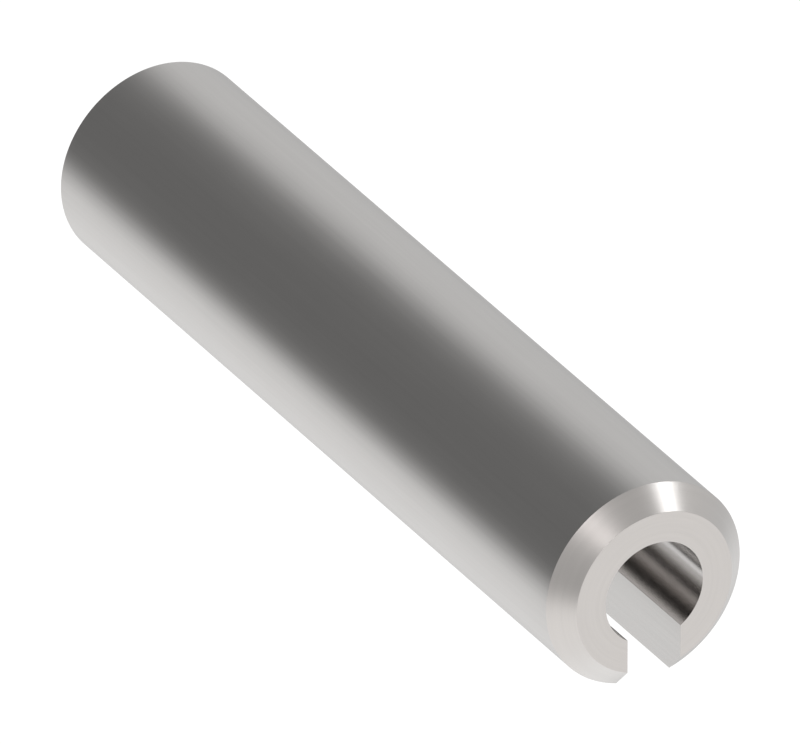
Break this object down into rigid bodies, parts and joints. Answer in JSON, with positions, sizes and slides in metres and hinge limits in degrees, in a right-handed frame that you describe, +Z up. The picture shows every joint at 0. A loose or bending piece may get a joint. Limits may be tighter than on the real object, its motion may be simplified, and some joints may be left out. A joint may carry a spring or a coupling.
{
  "type": "spring roll pin",
  "caption": "Slotted spring roll pin: steel strip rolled into a C, slotted from end to end, with chamfered ends. It is squeezed into a drilled hole and grips the hole's wall.",
  "frame": {"origin": "on the pin's own axis, halfway along its length", "axes": "+X along the pin's axis; +Z up, opposite the slot, which faces straight down along -Z; the pin lies on the two outer edges of its slot"},
  "size_m": [0.03, 0.0066, 0.0064],
  "materials": {
    "spring_steel": "plain spring steel, drawn and tumbled to a soft satin shine"
  },
  "bodies": {
    "root": {"spring_pin": "spring_steel"}
  },
  "joints": []
}
